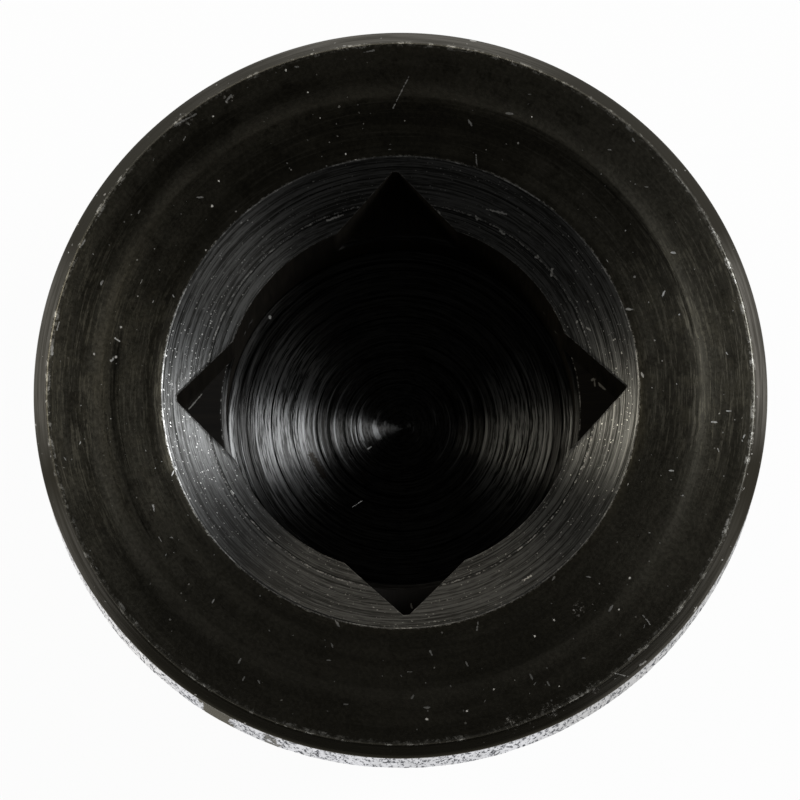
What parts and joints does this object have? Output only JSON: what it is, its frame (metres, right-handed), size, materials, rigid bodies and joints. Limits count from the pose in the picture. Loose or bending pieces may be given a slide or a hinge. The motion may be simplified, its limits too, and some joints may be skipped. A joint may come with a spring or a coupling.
{
  "type": "drain plug",
  "caption": "Drain plug: a low round collar with a countersunk square drive socket in its face, over a short threaded shank that closes a threaded drain hole.",
  "frame": {"origin": "centre of the flat end of the shank, on which the plug stands", "axes": "+Z along the plug's axis, from the end of the shank to the face of the collar; X and Y square to the flats of the drive socket"},
  "size_m": [0.022, 0.022, 0.0154],
  "materials": {
    "blackened_steel": "black oxide, worn bright along the edges, with the grainy skin of the bar on the side of the collar"
  },
  "bodies": {
    "root": {"drain_plug": "blackened_steel"}
  },
  "joints": []
}
